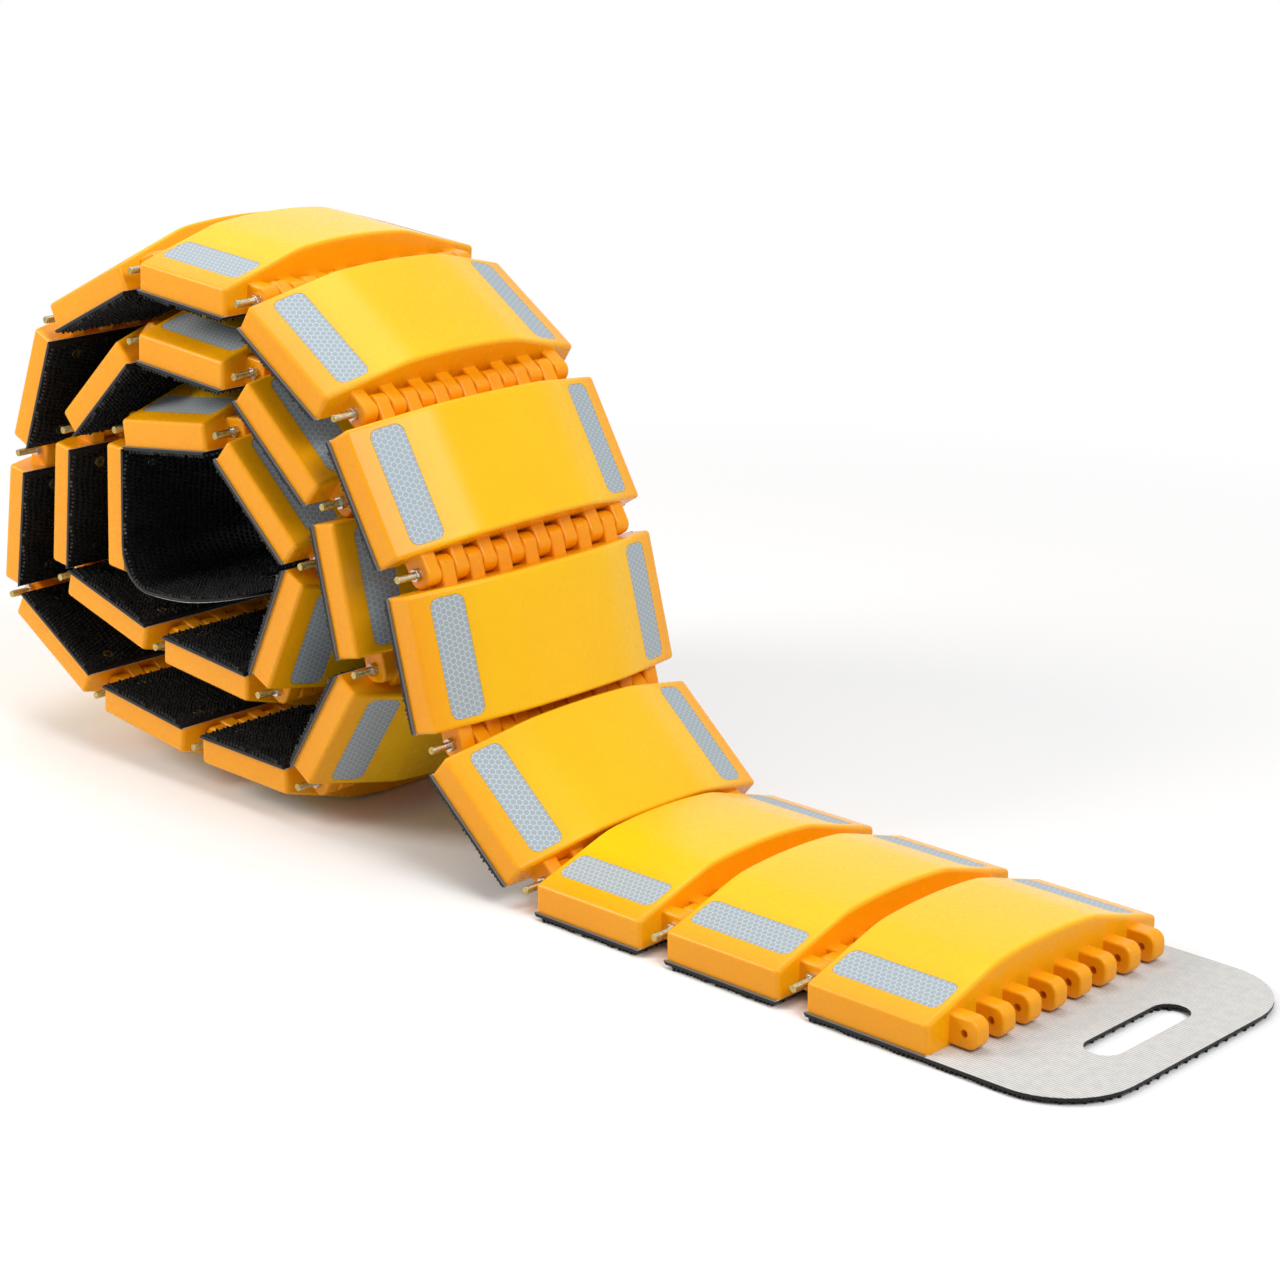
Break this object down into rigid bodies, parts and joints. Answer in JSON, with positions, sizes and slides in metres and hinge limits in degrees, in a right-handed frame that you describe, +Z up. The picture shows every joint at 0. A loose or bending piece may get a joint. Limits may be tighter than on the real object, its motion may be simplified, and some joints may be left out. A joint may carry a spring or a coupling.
{
  "type": "portable speed bump",
  "caption": "Roll-up speed bump: yellow moulded segments with reflective inlays, bolted comb hinges, rubber grip mats and end flaps with hand slots, part rolled and part laid flat.",
  "frame": {"origin": "on the floor, under the middle of the box round the part-rolled strip", "axes": "+X along the strip towards the laid-out tail with its hand flap, Y across the strip along the hinge bolts with the nuts at -Y, +Z up"},
  "size_m": [1.0264, 0.234, 0.4032],
  "materials": {
    "yellow_plastic": "glossy",
    "rubber": "matte"
  },
  "bodies": {
    "segment_body_01": {"segment_01": "yellow_plastic", "grip_mat_01": "rubber"},
    "segment_body_02": {"segment_02": "yellow_plastic", "grip_mat_02": "rubber"},
    "segment_body_03": {"segment_03": "yellow_plastic", "grip_mat_03": "rubber"},
    "segment_body_04": {"segment_04": "yellow_plastic", "grip_mat_04": "rubber"},
    "segment_body_05": {"segment_05": "yellow_plastic", "grip_mat_05": "rubber"},
    "segment_body_06": {"segment_06": "yellow_plastic", "grip_mat_06": "rubber"},
    "segment_body_07": {"segment_07": "yellow_plastic", "grip_mat_07": "rubber"},
    "segment_body_08": {"segment_08": "yellow_plastic", "grip_mat_08": "rubber"},
    "segment_body_09": {"segment_09": "yellow_plastic", "grip_mat_09": "rubber"},
    "segment_body_10": {"segment_10": "yellow_plastic", "grip_mat_10": "rubber"},
    "segment_body_11": {"segment_11": "yellow_plastic", "grip_mat_11": "rubber"},
    "segment_body_12": {"segment_12": "yellow_plastic", "grip_mat_12": "rubber"},
    "segment_body_13": {"segment_13": "yellow_plastic", "grip_mat_13": "rubber"},
    "segment_body_14": {"segment_14": "yellow_plastic", "grip_mat_14": "rubber"},
    "segment_body_15": {"segment_15": "yellow_plastic", "grip_mat_15": "rubber"},
    "segment_body_16": {"segment_16": "yellow_plastic", "grip_mat_16": "rubber"},
    "segment_body_17": {"segment_17": "yellow_plastic", "grip_mat_17": "rubber"},
    "segment_body_18": {"segment_18": "yellow_plastic", "grip_mat_18": "rubber"},
    "segment_body_19": {"segment_19": "yellow_plastic", "grip_mat_19": "rubber"},
    "segment_body_20": {"segment_20": "yellow_plastic", "grip_mat_20": "rubber"},
    "segment_body_21": {"segment_21": "yellow_plastic", "grip_mat_21": "rubber"},
    "segment_body_22": {"segment_22": "yellow_plastic", "grip_mat_22": "rubber"},
    "segment_body_23": {"segment_23": "yellow_plastic", "grip_mat_23": "rubber"},
    "segment_body_24": {"segment_24": "yellow_plastic", "grip_mat_24": "rubber"},
    "segment_body_25": {"segment_25": "yellow_plastic", "grip_mat_25": "rubber"},
    "segment_body_26": {"segment_26": "yellow_plastic", "grip_mat_26": "rubber"},
    "flap_body_1": {"inner_flap_1": "rubber"},
    "flap_body_2": {"inner_flap_2": "rubber"},
    "flap_body_3": {"inner_flap_3": "rubber"},
    "flap_body_4": {"inner_flap_4": "rubber"},
    "flap_body_5": {"inner_flap_5": "rubber"},
    "flap_body_6": {"inner_flap_6": "rubber"},
    "flap_body_7": {"inner_flap_7": "rubber"}
  },
  "joints": [
    {"name": "hinge_01", "type": "hinge", "parent": "segment_body_02", "child": "segment_body_01", "pos_m": [0.29924, 0, 0.016], "axis": [0, -1, 0], "range_deg": [-80, 38]},
    {"name": "hinge_02", "type": "hinge", "parent": "segment_body_03", "child": "segment_body_02", "pos_m": [0.18424, 0, 0.016], "axis": [0, -1, 0], "range_deg": [-80, 38]},
    {"name": "hinge_03", "type": "hinge", "parent": "segment_body_03", "child": "segment_body_04", "pos_m": [0.06924, 0, 0.016], "axis": [0, -1, 0], "range_deg": [0, 40.8]},
    {"name": "hinge_04", "type": "hinge", "parent": "segment_body_04", "child": "segment_body_05", "pos_m": [-0.01782, 0, 0.09114], "axis": [0, -1, 0], "range_deg": [0, 34.5]},
    {"name": "hinge_05", "type": "hinge", "parent": "segment_body_05", "child": "segment_body_06", "pos_m": [-0.047, 0, 0.20238], "axis": [0, 1, 0], "range_deg": [0, 15.7]},
    {"name": "hinge_06", "type": "hinge", "parent": "segment_body_06", "child": "segment_body_07", "pos_m": [-0.10519, 0, 0.30157], "axis": [0, 1, 0], "range_deg": [0, 26.2]},
    {"name": "hinge_07", "type": "hinge", "parent": "segment_body_07", "child": "segment_body_08", "pos_m": [-0.2012, 0, 0.36487], "axis": [0, 1, 0], "range_deg": [0, 29.2]},
    {"name": "hinge_08", "type": "hinge", "parent": "segment_body_08", "child": "segment_body_09", "pos_m": [-0.31589, 0, 0.3733], "axis": [0, 1, 0], "range_deg": [0, 29.5]},
    {"name": "hinge_09", "type": "hinge", "parent": "segment_body_09", "child": "segment_body_10", "pos_m": [-0.41986, 0, 0.32415], "axis": [0, 1, 0], "range_deg": [0, 41.7]},
    {"name": "hinge_10", "type": "hinge", "parent": "segment_body_10", "child": "segment_body_11", "pos_m": [-0.4648, 0, 0.21829], "axis": [0, 1, 0], "range_deg": [0, 12.8]},
    {"name": "hinge_11", "type": "hinge", "parent": "segment_body_11", "child": "segment_body_12", "pos_m": [-0.48516, 0, 0.10511], "axis": [0, 1, 0], "range_deg": [0, 69.7]},
    {"name": "hinge_12", "type": "hinge", "parent": "segment_body_12", "child": "segment_body_13", "pos_m": [-0.38607, 0, 0.04674], "axis": [0, 1, 0], "range_deg": [0, 23.6]},
    {"name": "hinge_13", "type": "hinge", "parent": "segment_body_13", "child": "segment_body_14", "pos_m": [-0.27191, 0, 0.03293], "axis": [0, 1, 0], "range_deg": [0, 5.9]},
    {"name": "hinge_14", "type": "hinge", "parent": "segment_body_14", "child": "segment_body_15", "pos_m": [-0.15692, 0, 0.03092], "axis": [0, 1, 0], "range_deg": [0, 57.5]},
    {"name": "hinge_15", "type": "hinge", "parent": "segment_body_15", "child": "segment_body_16", "pos_m": [-0.09345, 0, 0.12682], "axis": [0, 1, 0], "range_deg": [0, 46.9]},
    {"name": "hinge_16", "type": "hinge", "parent": "segment_body_16", "child": "segment_body_17", "pos_m": [-0.1201, 0, 0.23869], "axis": [0, 1, 0], "range_deg": [0, 35.8]},
    {"name": "hinge_17", "type": "hinge", "parent": "segment_body_17", "child": "segment_body_18", "pos_m": [-0.20716, 0, 0.31383], "axis": [0, 1, 0], "range_deg": [0, 36.5]},
    {"name": "hinge_18", "type": "hinge", "parent": "segment_body_18", "child": "segment_body_19", "pos_m": [-0.32183, 0, 0.32245], "axis": [0, 1, 0], "range_deg": [0, 46.7]},
    {"name": "hinge_19", "type": "hinge", "parent": "segment_body_19", "child": "segment_body_20", "pos_m": [-0.40675, 0, 0.24491], "axis": [0, 1, 0], "range_deg": [0, 40.2]},
    {"name": "hinge_20", "type": "hinge", "parent": "segment_body_20", "child": "segment_body_21", "pos_m": [-0.42157, 0, 0.13087], "axis": [0, 1, 0], "range_deg": [0, 81.9]},
    {"name": "hinge_21", "type": "hinge", "parent": "segment_body_21", "child": "segment_body_22", "pos_m": [-0.31075, 0, 0.10013], "axis": [0, 1, 0], "range_deg": [0, 10.2]},
    {"name": "hinge_22", "type": "hinge", "parent": "segment_body_22", "child": "segment_body_23", "pos_m": [-0.19624, 0, 0.08951], "axis": [0, 1, 0], "range_deg": [0, 68.9]},
    {"name": "hinge_23", "type": "hinge", "parent": "segment_body_23", "child": "segment_body_24", "pos_m": [-0.14511, 0, 0.19252], "axis": [0, 1, 0], "range_deg": [0, 74.5]},
    {"name": "hinge_24", "type": "hinge", "parent": "segment_body_24", "child": "segment_body_25", "pos_m": [-0.2307, 0, 0.26932], "axis": [0, 1, 0], "range_deg": [0, 49]},
    {"name": "hinge_25", "type": "hinge", "parent": "segment_body_25", "child": "segment_body_26", "pos_m": [-0.34482, 0, 0.2551], "axis": [0, 1, 0], "range_deg": [0, 78.8]},
    {"name": "flap_bend_1", "type": "hinge", "parent": "segment_body_26", "child": "flap_body_1", "pos_m": [-0.33772, 0, 0.16537], "axis": [0, 1, 0], "range_deg": [0, 22]},
    {"name": "flap_bend_2", "type": "hinge", "parent": "flap_body_1", "child": "flap_body_2", "pos_m": [-0.33465, 0, 0.15585], "axis": [0, 1, 0], "range_deg": [0, 22]},
    {"name": "flap_bend_3", "type": "hinge", "parent": "flap_body_2", "child": "flap_body_3", "pos_m": [-0.32823, 0, 0.14818], "axis": [0, 1, 0], "range_deg": [0, 22]},
    {"name": "flap_bend_4", "type": "hinge", "parent": "flap_body_3", "child": "flap_body_4", "pos_m": [-0.31941, 0, 0.14347], "axis": [0, 1, 0], "range_deg": [0, 22]},
    {"name": "flap_bend_5", "type": "hinge", "parent": "flap_body_4", "child": "flap_body_5", "pos_m": [-0.30947, 0, 0.14241], "axis": [0, 1, 0], "range_deg": [0, 8]},
    {"name": "flap_bend_6", "type": "hinge", "parent": "flap_body_5", "child": "flap_body_6", "pos_m": [-0.28448, 0, 0.14323], "axis": [0, 1, 0], "range_deg": [0, 5]},
    {"name": "flap_bend_7", "type": "hinge", "parent": "flap_body_6", "child": "flap_body_7", "pos_m": [-0.24576, 0, 0.14792], "axis": [0, 1, 0], "range_deg": [0, 4]}
  ],
  "couplings": [
    {"joint": "hinge_05", "follows": "hinge_06", "ratio": 0.59924},
    {"joint": "hinge_07", "follows": "hinge_06", "ratio": 1.1145},
    {"joint": "hinge_08", "follows": "hinge_06", "ratio": 1.126},
    {"joint": "hinge_09", "follows": "hinge_06", "ratio": 1.5916},
    {"joint": "hinge_10", "follows": "hinge_06", "ratio": 0.48855},
    {"joint": "hinge_11", "follows": "hinge_06", "ratio": 2.6603},
    {"joint": "hinge_12", "follows": "hinge_06", "ratio": 0.90076},
    {"joint": "hinge_13", "follows": "hinge_06", "ratio": 0.22519},
    {"joint": "hinge_14", "follows": "hinge_06", "ratio": 2.1947},
    {"joint": "hinge_15", "follows": "hinge_06", "ratio": 1.7901},
    {"joint": "hinge_16", "follows": "hinge_06", "ratio": 1.3664},
    {"joint": "hinge_17", "follows": "hinge_06", "ratio": 1.3931},
    {"joint": "hinge_18", "follows": "hinge_06", "ratio": 1.7824},
    {"joint": "hinge_19", "follows": "hinge_06", "ratio": 1.5344},
    {"joint": "hinge_20", "follows": "hinge_06", "ratio": 3.126},
    {"joint": "hinge_21", "follows": "hinge_06", "ratio": 0.38931},
    {"joint": "hinge_22", "follows": "hinge_06", "ratio": 2.6298},
    {"joint": "hinge_23", "follows": "hinge_06", "ratio": 2.8435},
    {"joint": "hinge_24", "follows": "hinge_06", "ratio": 1.8702},
    {"joint": "hinge_25", "follows": "hinge_06", "ratio": 3.0076},
    {"joint": "flap_bend_1", "follows": "hinge_06", "ratio": 0.83969},
    {"joint": "flap_bend_2", "follows": "hinge_06", "ratio": 0.83969},
    {"joint": "flap_bend_3", "follows": "hinge_06", "ratio": 0.83969},
    {"joint": "flap_bend_4", "follows": "hinge_06", "ratio": 0.83969},
    {"joint": "flap_bend_5", "follows": "hinge_06", "ratio": 0.30534},
    {"joint": "flap_bend_6", "follows": "hinge_06", "ratio": 0.19084},
    {"joint": "flap_bend_7", "follows": "hinge_06", "ratio": 0.15267}
  ]
}
